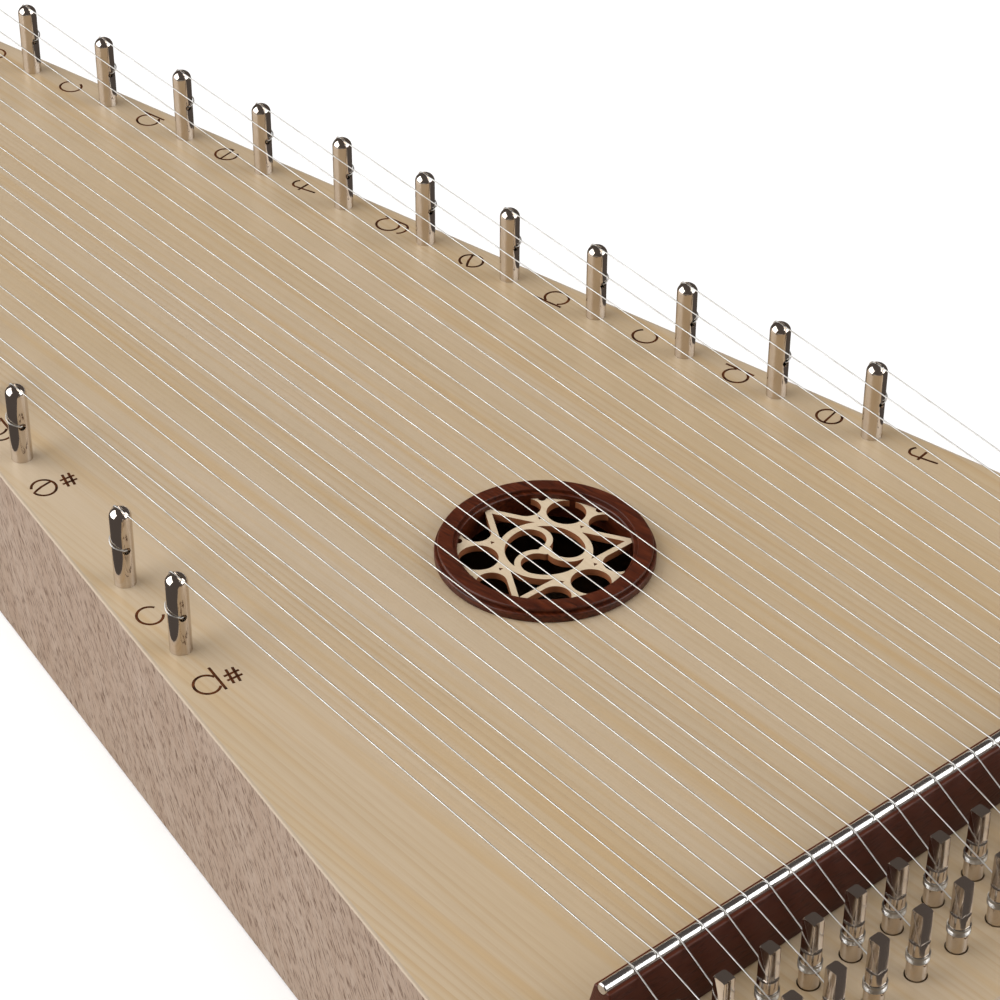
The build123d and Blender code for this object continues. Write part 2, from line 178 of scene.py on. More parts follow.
class PSALTERY_PG_finish(bpy.types.PropertyGroup):
    """Colours of the woods and metals."""

    spruce: colour("Spruce", (0.440, 0.347, 0.238), "Soundboard between the grain lines")
    mahogany: colour("Mahogany", (0.326, 0.250, 0.193), "Veneered sides")
    ring: colour("Ring", (0.055, 0.0095, 0.0022), "Dark ring round the sound hole")
    limewood: colour("Limewood", (0.56, 0.455, 0.325), "Fretted rosette")
    nickel: colour("Nickel", (0.66, 0.605, 0.55), "Polished pins")
    wire: colour("Wire", (0.61, 0.61, 0.60), "Steel strings")


class PSALTERY_PG_stage(bpy.types.PropertyGroup):
    """Camera, floor and light."""

    focal_length: FloatProperty(name="Focal length", default=110.234, unit="CAMERA",
                                description="Focal length of the lens in millimetres")
    camera_offset: FloatVectorProperty(name="Camera offset", size=3, unit="LENGTH",
                                       default=(-0.443484, -0.489390, 0.495472),
                                       description="Camera's place from the ring's centre")
    camera_turn: FloatVectorProperty(name="Camera turn", size=3, subtype="EULER",
                                     default=(0.944696, -0.004746, -0.714213),
                                     description="Camera's rotation")
    floor_colour: colour("Floor", (0.95, 0.95, 0.95), "Pale floor")
    key_power: FloatProperty(name="Key power", default=72.0, unit="POWER",
                             description="Softbox on the sharps' side, behind")
    side_power: FloatProperty(name="Side power", default=34.0, unit="POWER",
                              description="Softbox on the naturals' side, in front")
    top_power: FloatProperty(name="Top power", default=52.0, unit="POWER",
                             description="Wide overhead light")


# ---- Shared modelling steps ----

def deselect():
    """Back to object mode with nothing selected."""
    if bpy.context.object and bpy.context.object.mode != "OBJECT":
        bpy.ops.object.mode_set(mode="OBJECT")
    bpy.ops.object.select_all(action="DESELECT")


def activate(*objects):
    """Only these objects selected, the first one active."""
    deselect()
    for item in objects:
        item.select_set(True)
    bpy.context.view_layer.objects.active = objects[0]


def apply_modifier(item, kind, **settings):
    """Add a modifier, set it and apply it."""
    activate(item)
    modifier = item.modifiers.new(kind.title(), kind)
    for key, value in settings.items():
        setattr(modifier, key, value)
    bpy.ops.object.modifier_apply(modifier=modifier.name)


def cut(item, cutter):
    """Take the cutter's shape out of a piece and remove the cutter."""
    apply_modifier(item, "BOOLEAN", operation="DIFFERENCE", solver="EXACT", object=cutter)
    bpy.data.objects.remove(cutter)


def settle(item, name, smooth_angle=math.radians(35)):
    """Put a piece's place into its mesh, turn its faces outwards and name it."""
    activate(item)
    bpy.ops.object.transform_apply(location=True, rotation=True, scale=True)
    bpy.ops.object.mode_set(mode="EDIT")
    bpy.ops.mesh.select_all(action="SELECT")
    bpy.ops.mesh.remove_doubles(threshold=1e-6)
    bpy.ops.mesh.normals_make_consistent(inside=False)
    bpy.ops.object.mode_set(mode="OBJECT")
    bpy.ops.object.shade_smooth_by_angle(angle=smooth_angle)
    item.name = name
    item.data.name = name
    return item


def lathe(profile, sides, closed=False):
    """Extrude a circle through (radius, height) steps; closed joins the last to the first."""
    deselect()
    radius, height = profile[0]
    bpy.ops.mesh.primitive_circle_add(vertices=sides, radius=radius, location=(0, 0, height))
    item = bpy.context.object
    bpy.ops.object.transform_apply(location=True)
    bpy.ops.object.mode_set(mode="EDIT")
    bpy.ops.mesh.select_all(action="SELECT")
    for next_radius, next_height in profile[1:]:
        move = (0, 0, next_height - height)
        bpy.ops.mesh.extrude_edges_move(TRANSFORM_OT_translate={"value": move})
        scale = next_radius / radius
        bpy.ops.transform.resize(value=(scale, scale, 1), center_override=(0, 0, next_height))
        radius, height = next_radius, next_height
    if not closed:
        bpy.ops.mesh.edge_face_add()
    bpy.ops.object.mode_set(mode="OBJECT")
    select_ring(item, profile[0])
    if closed:
        select_ring(item, profile[-1], extend=True)
        in_edit(bpy.ops.mesh.bridge_edge_loops)
    else:
        in_edit(bpy.ops.mesh.edge_face_add)
    return item


def in_edit(operator, **options):
    """Run one operator in edit mode on what is selected."""
    bpy.ops.object.mode_set(mode="EDIT")
    operator(**options)
    bpy.ops.object.mode_set(mode="OBJECT")


def select_ring(item, step, extend=False):
    """Select the vertices that stand on one (radius, height) step of a lathed piece."""
    if not extend:
        in_edit(bpy.ops.mesh.select_all, action="DESELECT")
    in_edit(bpy.ops.mesh.select_mode, type="VERT")
    for vertex in item.data.vertices:
        out = math.hypot(vertex.co.x, vertex.co.y) - step[0]
        vertex.select = vertex.select or abs(out) + abs(vertex.co.z - step[1]) < 1e-5


def arc(centre, radius, start, end, steps):
    """Points of a round stretch in (radius, height), from start to end degrees."""
    turns = [math.radians(start + (end - start) * step / steps) for step in range(steps + 1)]
    return [(centre[0] + radius * math.cos(t), centre[1] + radius * math.sin(t)) for t in turns]


def box_cutter(size, centre):
    """A plain block to cut with."""
    deselect()
    bpy.ops.mesh.primitive_cube_add(size=1, location=centre, scale=size)
    return bpy.context.object


def rod_cutter(radius, reach, height, axis_turn=(QUARTER_TURN, 0, 0)):
    """A round rod to cut with, lying along Y unless turned."""
    deselect()
    bpy.ops.mesh.primitive_cylinder_add(vertices=48, radius=radius, depth=reach,
                                        location=(0, 0, height), rotation=axis_turn)
    return bpy.context.object


def join(items, name):
    """Make one piece of several."""
    activate(*items)
    bpy.ops.object.join()
    item = bpy.context.object
    item.name = name
    item.data.name = name
    return item


def copies(master, places, name):
    """One piece with a copy of the master at each matrix; the master is removed."""
    made = []
    for place in places:
        item = bpy.data.objects.new(name, master.data.copy())
        bpy.context.scene.collection.objects.link(item)
        item.data.transform(place)
        made.append(item)
    bpy.data.objects.remove(master)
    return join(made, name)


def wire_piece(routes, radius, name, resolution=2):
    """A tube along each route, as one mesh."""
    curve = bpy.data.curves.new(name, "CURVE")
    curve.dimensions = "3D"
    curve.bevel_depth = radius
    curve.bevel_resolution = resolution
    curve.use_fill_caps = True
    for route in routes:
        spline = curve.splines.new("POLY")
        spline.points.add(len(route) - 1)
        for point, place in zip(spline.points, route):
            point.co = (*place, 1.0)
    item = bpy.data.objects.new(name, curve)
    bpy.context.scene.collection.objects.link(item)
    activate(item)
    bpy.ops.object.convert(target="MESH")
    return settle(bpy.context.object, name, math.radians(60))


# ---- Where things stand, read from the frame ----

def pin_axes(node):
    """Axes of one side's hitch pins, from the lowest note's pin to the highest."""
    points = sorted((v.co.y, v.co.x) for v in frame["nodes"][node].data.vertices)
    groups = [[points[0]]]
    for point in points[1:]:
        if point[0] - groups[-1][-1][0] > 5 * MM:
            groups.append([])
        groups[-1].append(point)
    middles = []
    for group in groups:
        across = [point[1] for point in group]
        middles.append(((min(across) + max(across)) / 2, (group[0][0] + group[-1][0]) / 2))
    return middles[::-1]


def tuning_axis(number):
    """Axis of the tuning pin that holds string number 0..29, counted from the sharps' side."""
    joint = next(j for j in frame["joints"] if j["child"] == f"tuning_pin_{number + 1:02d}")
    return joint["pos_m"]


def string_heading(hitch, tuning, aside):
    """Direction in plan of a string that passes its tuning pin on the +X side, and its reach."""
    gap = Vector((tuning[0] - hitch[0], tuning[1] - hitch[1]))
    reach = math.sqrt(gap.length_squared - aside * aside)
    turn = Matrix.Rotation(math.asin(aside / gap.length), 2)
    return turn @ gap.normalized(), reach


natural_axes = pin_axes("natural_hitch_pins")
sharp_axes = pin_axes("sharp_hitch_pins")
ROWS = {
    "natural": (natural_axes, [len(sharp_axes) + index for index in range(len(natural_axes))], 1),
    "sharp": (sharp_axes, [len(sharp_axes) - 1 - index for index in range(len(sharp_axes))], -1),
}


# ---- Materials ----

def new_material(name):
    """A material with its node tree and shader."""
    material = bpy.data.materials.new(name)
    material.use_nodes = True
    return material, material.node_tree, material.node_tree.nodes["Principled BSDF"]


def add_node(tree, kind, settings=(), **inputs):
    """A node with its settings, and inputs linked or set by name (spaces as underscores)."""
    node = tree.nodes.new(kind)
    for key, value in dict(settings).items():
        setattr(node, key, value)
    for key, value in inputs.items():
        socket = node.inputs[int(key[1:])] if key[0] == "_" else node.inputs[key.replace("_", " ")]
        if isinstance(value, bpy.types.NodeSocket):
            tree.links.new(value, socket)
        else:
            socket.default_value = value
    return node


def object_place(tree, scale=(1, 1, 1), turn=(0, 0, 0)):
    """Object coordinates, scaled after being turned."""
    place = add_node(tree, "ShaderNodeTexCoord").outputs["Object"]
    turned = add_node(tree, "ShaderNodeMapping", Vector=place, Rotation=turn)
    return add_node(tree, "ShaderNodeMapping", Vector=turned.outputs[0], Scale=scale).outputs[0]


def noise(tree, place, scale=1.0, detail=2.0, roughness=0.5):
    """A noise value."""
    return add_node(tree, "ShaderNodeTexNoise", Vector=place, Scale=scale, Detail=detail,
                    Roughness=roughness).outputs[0]


def ramp(tree, value, low, high, start=0.0, end=1.0):
    """The value, stretched from low..high to start..end and held there."""
    return add_node(tree, "ShaderNodeMapRange", Value=value, From_Min=low, From_Max=high,
                    To_Min=start, To_Max=end).outputs[0]


def compute(tree, operation, first, second):
    """One sum on two values."""
    node = add_node(tree, "ShaderNodeMath", {"operation": operation}, _0=first, _1=second)
    return node.outputs[0]


def shade(tree, tone, value, spread, amount, colour_there):
    """The tone blended towards a colour, up to an amount, as the value crosses its spread."""
    return blend(tree, ramp(tree, value, *spread, 0.0, amount), tone, colour_there)


def blend(tree, amount, first, second):
    """Two colours mixed by an amount."""
    node = add_node(tree, "ShaderNodeMix", {"data_type": "RGBA"}, _0=amount, _6=first, _7=second)
    return node.outputs[2]


def tint(base, factors):
    """A colour made from another by a factor on each channel."""
    return (*(channel * factor for channel, factor in zip(base, factors)), 1.0)


def facing_up(tree):
    """How far a surface faces straight up."""
    normal = add_node(tree, "ShaderNodeNewGeometry").outputs["True Normal"]
    return add_node(tree, "ShaderNodeSeparateXYZ", Vector=normal).outputs["Z"]


def bump(tree, shader, height, distance, strength=1.0):
    """Bump on a shader."""
    node = add_node(tree, "ShaderNodeBump", Height=height, Distance=distance, Strength=strength)
    tree.links.new(node.outputs[0], shader.inputs["Normal"])


def spruce_material(base):
    """Quarter-sawn softwood: straight growth lines along Y, soft bands and fine fibres."""
    material, tree, shader = new_material("spruce")
    wander = noise(tree, object_place(tree, (30.0, 1.1, 30.0)), detail=2.0)
    place = add_node(tree, "ShaderNodeTexCoord").outputs["Object"]
    shift = add_node(tree, "ShaderNodeCombineXYZ",
                     X=compute(tree, "MULTIPLY", wander, 0.022)).outputs[0]
    moved = add_node(tree, "ShaderNodeVectorMath", {"operation": "ADD"}, _0=place, _1=shift)
    settings = {"wave_type": "BANDS", "bands_direction": "X", "wave_profile": "SAW"}
    rings = add_node(tree, "ShaderNodeTexWave", settings, Vector=moved.outputs[0], Scale=128.0)
    late = ramp(tree, rings.outputs["Fac"], 0.50, 1.0)
    presence = ramp(tree, noise(tree, object_place(tree, (70.0, 3.0, 70.0))), 0.38, 0.66)
    late = compute(tree, "MULTIPLY", late, presence)
    bands = noise(tree, object_place(tree, (42.0, 0.9, 42.0)), detail=3.0)
    streaks = noise(tree, object_place(tree, (300.0, 5.0, 300.0)), detail=2.0)
    warmth = noise(tree, object_place(tree, (11.0, 3.0, 11.0)), detail=2.0)
    fibres = noise(tree, object_place(tree, (2100.0, 70.0, 2100.0)), detail=2.0)
    tone = blend(tree, ramp(tree, bands, 0.35, 0.65), tint(base, (0.95, 0.93, 0.88)),
                 tint(base, (1.04, 1.05, 1.09)))
    tone = shade(tree, tone, warmth, (0.38, 0.66), 0.8, tint(base, (1.0, 0.95, 0.84)))
    tone = shade(tree, tone, streaks, (0.50, 0.72), 0.75, tint(base, (0.99, 0.87, 0.66)))
    tone = blend(tree, compute(tree, "MULTIPLY", late, 0.50), tone, tint(base, (0.82, 0.69, 0.50)))
    tone = shade(tree, tone, fibres, (0.35, 0.7), 0.16, tint(base, (0.74, 0.66, 0.56)))
    tree.links.new(tone, shader.inputs["Base Color"])
    shader.inputs["Roughness"].default_value = 0.42
    shader.inputs["Coat Weight"].default_value = 0.12
    shader.inputs["Coat Roughness"].default_value = 0.35
    bump(tree, shader, compute(tree, "ADD", late, fibres), 0.00003, 0.35)
    return material


def pored_material(name, base, turn, pore_strength, roughness):
    """Open-pored hardwood; turn brings its grain onto Y; faces that point up get a painted
    highlight.
    """
    material, tree, shader = new_material(name)
    pore_scale = Vector((PORES_ACROSS, PORES_ALONG, PORES_ACROSS))
    short_scale = Vector((0.6 * PORES_ACROSS, 0.5 * PORES_ALONG, 0.6 * PORES_ACROSS))
    figure = noise(tree, object_place(tree, (90.0, 12.0, 90.0), turn), detail=3.0)
    stripes = noise(tree, object_place(tree, (700.0, 60.0, 700.0), turn), detail=2.0)
    pores = noise(tree, object_place(tree, pore_scale, turn), detail=1.5)
    short = noise(tree, object_place(tree, short_scale, turn), detail=1.0)
    tone = blend(tree, ramp(tree, figure, 0.35, 0.65), tint(base, (0.94, 0.91, 0.88)),
                 tint(base, (1.04, 1.04, 1.04)))
    tone = shade(tree, tone, stripes, (0.40, 0.62), 0.5, tint(base, (0.84, 0.76, 0.70)))
    dark = compute(tree, "MULTIPLY", ramp(tree, pores, 0.48, 0.62), ramp(tree, short, 0.38, 0.54))
    tone = blend(tree, compute(tree, "MULTIPLY", dark, pore_strength), tone,
                 tint(base, (0.36, 0.27, 0.22)))
    # Painted highlight: faces that point up are blended lighter, standing in for light catching
    # the top edges.
    painted_top_highlight = ramp(tree, facing_up(tree), 0.3, 0.6)
    tone = blend(tree, painted_top_highlight, tone, tint(base, (1.22, 1.28, 1.22)))
    tree.links.new(tone, shader.inputs["Base Color"])
    shader.inputs["Roughness"].default_value = roughness
    shader.inputs["Specular IOR Level"].default_value = 0.3
    bump(tree, shader, compute(tree, "MULTIPLY", dark, -1.0), 0.00006, 0.5)
    return material


def ring_material(base):
    """Dark stained hardwood: brown with lighter flecks along its grain."""
    material, tree, shader = new_material("ring_mahogany")
    turn = (0, 0, math.radians(-8))
    figure = noise(tree, object_place(tree, (320.0, 60.0, 320.0), turn), detail=3.0)
    flecks = noise(tree, object_place(tree, (1300.0, 150.0, 1300.0), turn), detail=3.0)
    tone = blend(tree, ramp(tree, figure, 0.36, 0.64), tint(base, (0.82, 0.80, 0.78)),
                 tint(base, (1.2, 1.25, 1.3)))
    tone = shade(tree, tone, flecks, (0.52, 0.70), 0.8, tint(base, (1.9, 2.3, 2.8)))
    tone = shade(tree, tone, flecks, (0.46, 0.32), 0.8, tint(base, (0.35, 0.35, 0.35)))
    tree.links.new(tone, shader.inputs["Base Color"])
    shader.inputs["Roughness"].default_value = 0.40
    shader.inputs["Specular IOR Level"].default_value = 0.35
    bump(tree, shader, flecks, 0.00004, 0.4)
    return material


def rosette_material(base):
    """Pale limewood whose cut walls are scorched."""
    material, tree, shader = new_material("rosette_limewood")
    figure = noise(tree, object_place(tree, (150.0, 12.0, 150.0)), detail=3.0)
    fibres = noise(tree, object_place(tree, (1800.0, 90.0, 1800.0)), detail=2.0)
    tone = blend(tree, ramp(tree, figure, 0.35, 0.65), tint(base, (0.92, 0.90, 0.85)),
                 tint(base, (1.05, 1.05, 1.05)))
    tone = shade(tree, tone, fibres, (0.4, 0.7), 0.25, tint(base, (0.78, 0.68, 0.55)))
    flat = ramp(tree, compute(tree, "ABSOLUTE", facing_up(tree), 0.0), 0.4, 0.8)
    scorch = tint(base, (0.47, 0.20, 0.10))
    tree.links.new(blend(tree, flat, scorch, tone), shader.inputs["Base Color"])
    shader.inputs["Roughness"].default_value = 0.55
    bump(tree, shader, fibres, 0.00003, 0.4)
    return material


def metal_material(name, base, roughness, scratch):
    """Plated metal with faint handling marks."""
    material, tree, shader = new_material(name)
    smudges = noise(tree, object_place(tree, (160.0, 160.0, 90.0)), detail=3.0)
    lines = noise(tree, object_place(tree, (900.0, 900.0, 5000.0)), detail=2.0)
    tone = blend(tree, ramp(tree, smudges, 0.35, 0.7), tint(base, (1.0, 1.0, 1.0)),
                 tint(base, (0.93, 0.90, 0.86)))
    tree.links.new(tone, shader.inputs["Base Color"])
    shader.inputs["Metallic"].default_value = 1.0
    rough = ramp(tree, smudges, 0.3, 0.75, roughness * 0.7, roughness * 1.5)
    tree.links.new(rough, shader.inputs["Roughness"])
    bump(tree, shader, lines, 0.000004, scratch)
    return material


def burnt_material():
    """Scorched line: nearly black in the middle, browner where it was burnt lightly."""
    material, tree, shader = new_material("burnt_line")
    heat = noise(tree, object_place(tree, (420.0, 420.0, 420.0)), detail=2.0)
    tone = blend(tree, ramp(tree, heat, 0.35, 0.7), (0.022, 0.007, 0.0022, 1.0),
                 (0.095, 0.028, 0.008, 1.0))
    tree.links.new(tone, shader.inputs["Base Color"])
    shader.inputs["Roughness"].default_value = 0.8
    shader.inputs["Specular IOR Level"].default_value = 0.1
    bump(tree, shader, heat, 0.00005, 0.4)
    return material


def dress(item, material):
    """Give a piece one material."""
    item.data.materials.clear()
    item.data.materials.append(material)


class PSALTERY_OT_woods(bpy.types.Operator):
    """Give each wooden node of the frame its wood, and the steel rod its metal"""

    bl_idname = "psaltery.woods"
    bl_label = "Woods"

    def execute(self, context):
        finish = context.scene.psaltery_finish
        along = (0, 0, 0)
        leaning = (math.radians(-57), 0, 0)
        across = (0, 0, QUARTER_TURN)
        sides = pored_material("side_mahogany", finish.mahogany, leaning, 0.85, 0.5)
        ends = pored_material("end_mahogany", finish.mahogany, across, 0.85, 0.5)
        back = pored_material("back_mahogany", finish.mahogany, along, 0.8, 0.5)
        beech = pored_material("beech", (0.48, 0.30, 0.18), across, 0.4, 0.6)
        rail = pored_material("rail_wood", (0.50, 0.36, 0.22), along, 0.3, 0.65)
        steel = metal_material("rod_steel", (0.62, 0.61, 0.60), 0.22, 0.3)
        woods = {
            "soundboard": spruce_material(finish.spruce),
            "rosette": rosette_material(finish.limewood),
            "back_plate": back,
            "side_veneer_left": sides,
            "side_veneer_right": sides,
            "base_veneer": ends,
            "apex_veneer": ends,
            "side_rail_left": rail,
            "side_rail_right": rail,
            "apex_block": beech,
            "pin_block": beech,
            "bridge_rod": steel,
        }
        woods.update({name: beech for name in frame["nodes"] if "_bar_" in name})
        for name, material in woods.items():
            dress(frame["nodes"][name], material)
        return {"FINISHED"}


class PSALTERY_OT_ring(bpy.types.Operator):
    """Turn the dark ring round the sound hole, with its two beads and the groove between"""

    bl_idname = "psaltery.ring"
    bl_label = "Ring"

    def execute(self, context):
        size = context.scene.psaltery_ring
        outer = (ring_high.x - ring_low.x) / 2
        top = ring_high.z - Z_BOARD
        bottom = ring_low.z - Z_BOARD
        upper = outer - size.step_in
        bead = size.bead
        ledge = top - size.ledge_depth
        ease = 0.25 * MM
        profile = [(size.spigot_radius, bottom), (size.spigot_radius, 0.0), (outer - ease, 0.0)]
        profile += [(outer, ease), (outer, size.quirk_height - bead)]
        profile += arc((outer - bead, size.quirk_height - bead), bead, 20, 90, 4)
        profile += [(upper - size.quirk_depth, size.quirk_height)]
        profile += [(upper - size.quirk_depth, size.quirk_height + 0.15 * MM)]
        profile += arc((upper - bead, top - bead), bead, -30, 90, 6)
        profile += arc((size.mouth_radius + ease, top - ease), ease, 90, 180, 3)
        profile += [(size.mouth_radius, ledge), (size.inner_radius + ease, ledge)]
        profile += [(size.inner_radius, ledge - ease), (size.inner_radius, bottom)]
        ring = lathe(profile, 192, closed=True)
        ring.data.transform(Matrix.Translation((RING_CENTRE.x, RING_CENTRE.y, Z_BOARD)))
        settle(ring, "turned_ring", math.radians(28))
        wood = context.scene.psaltery_finish.ring
        dress(ring, ring_material(wood))
        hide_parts("rosette_ring")
        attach(ring, BODY)
        return {"FINISHED"}


class PSALTERY_OT_bridge(bpy.types.Operator):
    """Shape the bridge: a foot, two sloping faces and a groove for the steel rod"""

    bl_idname = "psaltery.bridge"
    bl_label = "Bridge"

    def execute(self, context):
        span = bridge_high - bridge_low
        foot = 3.0 * MM
        top_share = 5.0 / 11.0
        centre = (bridge_low + bridge_high) / 2
        deselect()
        bpy.ops.mesh.primitive_cube_add(size=1, location=(centre.x, centre.y, Z_BOARD + foot / 2),
                                        scale=(span.x, span.y, foot))
        bridge = bpy.context.object
        bpy.ops.object.transform_apply(location=True, rotation=True, scale=True)
        in_edit(bpy.ops.mesh.select_all, action="DESELECT")
        for face in bridge.data.polygons:
            face.select = face.normal.z > 0.9
        bpy.ops.object.mode_set(mode="EDIT")
        bpy.ops.mesh.select_mode(type="FACE")
        rise = (0, 0, bridge_high.z - Z_BOARD - foot)
        bpy.ops.mesh.extrude_region_move(TRANSFORM_OT_translate={"value": rise})
        top_centre = (centre.x, centre.y, bridge_high.z)
        bpy.ops.transform.resize(value=(1, top_share, 1), center_override=top_centre)
        bpy.ops.object.mode_set(mode="OBJECT")
        apply_modifier(bridge, "BEVEL", width=0.5 * MM, segments=3, limit_method="ANGLE")
        groove = rod_cutter(ROD_RADIUS, span.x * 1.1, 0.0, (0, QUARTER_TURN, 0))
        groove.location = ROD_CENTRE
        cut(bridge, groove)
        settle(bridge, "shaped_bridge")
        wood = context.scene.psaltery_finish.ring
        across = (0, 0, QUARTER_TURN)
        dress(bridge, pored_material("bridge_walnut", wood, across, 0.5, 0.45))
        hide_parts("bridge")
        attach(bridge, BODY)
        return {"FINISHED"}


class PSALTERY_OT_hitch_pins(bpy.types.Operator):
    """Turn, slot and drill one hitch pin, and stand a copy at each string's far end"""

    bl_idname = "psaltery.hitch_pins"
    bl_label = "Hitch pins"

    def execute(self, context):
        size = context.scene.psaltery_hitch_pin
        nickel = metal_material("nickel", context.scene.psaltery_finish.nickel, 0.07, 0.08)
        aside = tuning_aside(context)
        for row, (axes, numbers, outer) in ROWS.items():
            places = []
            for axis, number in zip(axes, numbers):
                heading, _ = string_heading(axis, tuning_axis(number), aside)
                turn = Matrix.Rotation(math.atan2(heading.x, -heading.y), 4, "Z")
                places.append(Matrix.Translation((*axis, Z_BOARD)) @ turn)
            master = self.pin(size, outer * hole_turn(size, outer))
            pins = copies(master, places, f"{row}_pins")
            dress(pins, nickel)
            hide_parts(f"{row}_hitch_pins")
            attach(pins, BODY)
        return {"FINISHED"}

    @staticmethod
    def pin(size, turn):
        """One pin, its slot along Y and its cross hole turned a little from it."""
        shoulder = size.height - size.dome
        ease = 0.5 * MM
        profile = [(size.radius - ease, -size.depth), (size.radius, ease - size.depth)]
        steps = 12
        for step in range(steps):
            rise = math.radians(90 * step / steps)
            profile.append((size.radius * math.cos(rise), shoulder + size.dome * math.sin(rise)))
        profile.append((size.radius * 0.03, size.height))
        pin = lathe(profile, size.sides)
        slot_size = (size.slot_width, 3 * size.radius, 2 * size.slot_depth)
        cut(pin, box_cutter(slot_size, (0, 0, size.height)))
        lying = (QUARTER_TURN, 0, turn)
        cut(pin, rod_cutter(size.hole_radius, 3 * size.radius, size.hole_height, lying))
        apply_modifier(pin, "BEVEL", width=0.12 * MM, segments=2, limit_method="ANGLE",
                       angle_limit=math.radians(50))
        return settle(pin, "hitch_pin")


def hole_turn(size, outer):
    """Turn of a pin's cross hole towards its edge of the box."""
    return size.natural_hole_turn if outer > 0 else size.sharp_hole_turn


def tuning_aside(context):
    """Distance from a tuning pin's axis to the middle of its string."""
    wire = context.scene.psaltery_wire.radius
    return context.scene.psaltery_tuning_pin.radius + wire + SIDE_CLEARANCE


def winding_top(context):
    """Height above the board of the top of the turns of wire on a tuning pin."""
    tuning = context.scene.psaltery_tuning_pin
    return tuning.winding_height + 2 * context.scene.psaltery_wire.radius * tuning.turns


def string_route(context, axis, number, outer):
    """Points of one string, from inside the hitch pin's hole to the tuning pin."""
    pin = context.scene.psaltery_hitch_pin
    wire = context.scene.psaltery_wire
    heading, reach = string_heading(axis, tuning_axis(number), tuning_aside(context))
    side = Vector((-heading.y, heading.x))
    if side.x * outer < 0:
        side = -side
    middle = Vector(axis)

    def at(along, across, height):
        spot = middle + heading * along + side * across
        return (spot.x, spot.y, height)

    hug = pin.radius + wire.radius + WRAP_CLEARANCE
    hole = Z_BOARD + pin.hole_height
    slot = Z_BOARD + pin.height - pin.slot_depth + wire.radius + SLOT_CLEARANCE
    shoulder = Z_BOARD + pin.height - pin.dome
    mouth = hole_turn(pin, outer)
    inner = pin.radius * 0.5
    route = [at(-inner * math.cos(mouth), -inner * math.sin(mouth), hole)]
    route.append(at(pin.radius * math.cos(mouth), pin.radius * math.sin(mouth), hole + 0.3 * MM))
    wrap_steps = 18
    for step in range(wrap_steps + 1):
        part = step / wrap_steps
        turn = mouth + math.radians(13) + (math.radians(167) - mouth) * part
        out = hug + wire.wrap_bulge * math.sin(math.pi * min(1.0, part * 1.35)) ** 2 * (1 - part)
        rise = wire.wrap_rise * (0.12 + 0.88 * part ** 0.9)
        route.append(at(out * math.cos(turn), out * math.sin(turn), hole + rise))
    crown = pin.dome + wire.radius
    dome_steps = 6
    for step in range(dome_steps + 1):
        turn = math.asin((slot - shoulder) / crown) * step / dome_steps
        route.append(at(-hug * math.cos(turn), 0, shoulder + crown * math.sin(turn)))
    over = ROD_CENTRE.z + ROD_RADIUS + wire.radius + CONTACT_CLEARANCE
    rod = (ROD_CENTRE.y - axis[1]) / heading.y
    end = Z_BOARD + winding_top(context) + wire.radius + SIDE_CLEARANCE
    route += [at(pin.radius, 0, slot), at(rod - 1.2 * MM, 0, over - 0.01 * MM)]
    route += [at(rod + 0.4 * MM, 0, over), at(reach, 0, end)]
    return route


class PSALTERY_OT_strings(bpy.types.Operator):
    """String the psaltery: each wire hooks into its pin, wraps it and runs over the bridge"""

    bl_idname = "psaltery.strings"
    bl_label = "Strings"

    def execute(self, context):
        steel = metal_material("string_steel", context.scene.psaltery_finish.wire, 0.45, 0.0)
        for row, (axes, numbers, outer) in ROWS.items():
            routes = [string_route(context, a, n, outer) for a, n in zip(axes, numbers)]
            wires = wire_piece(routes, context.scene.psaltery_wire.radius, f"{row}_wires")
            dress(wires, steel)
            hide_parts(f"{row}_strings")
            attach(wires, BODY)
        return {"FINISHED"}


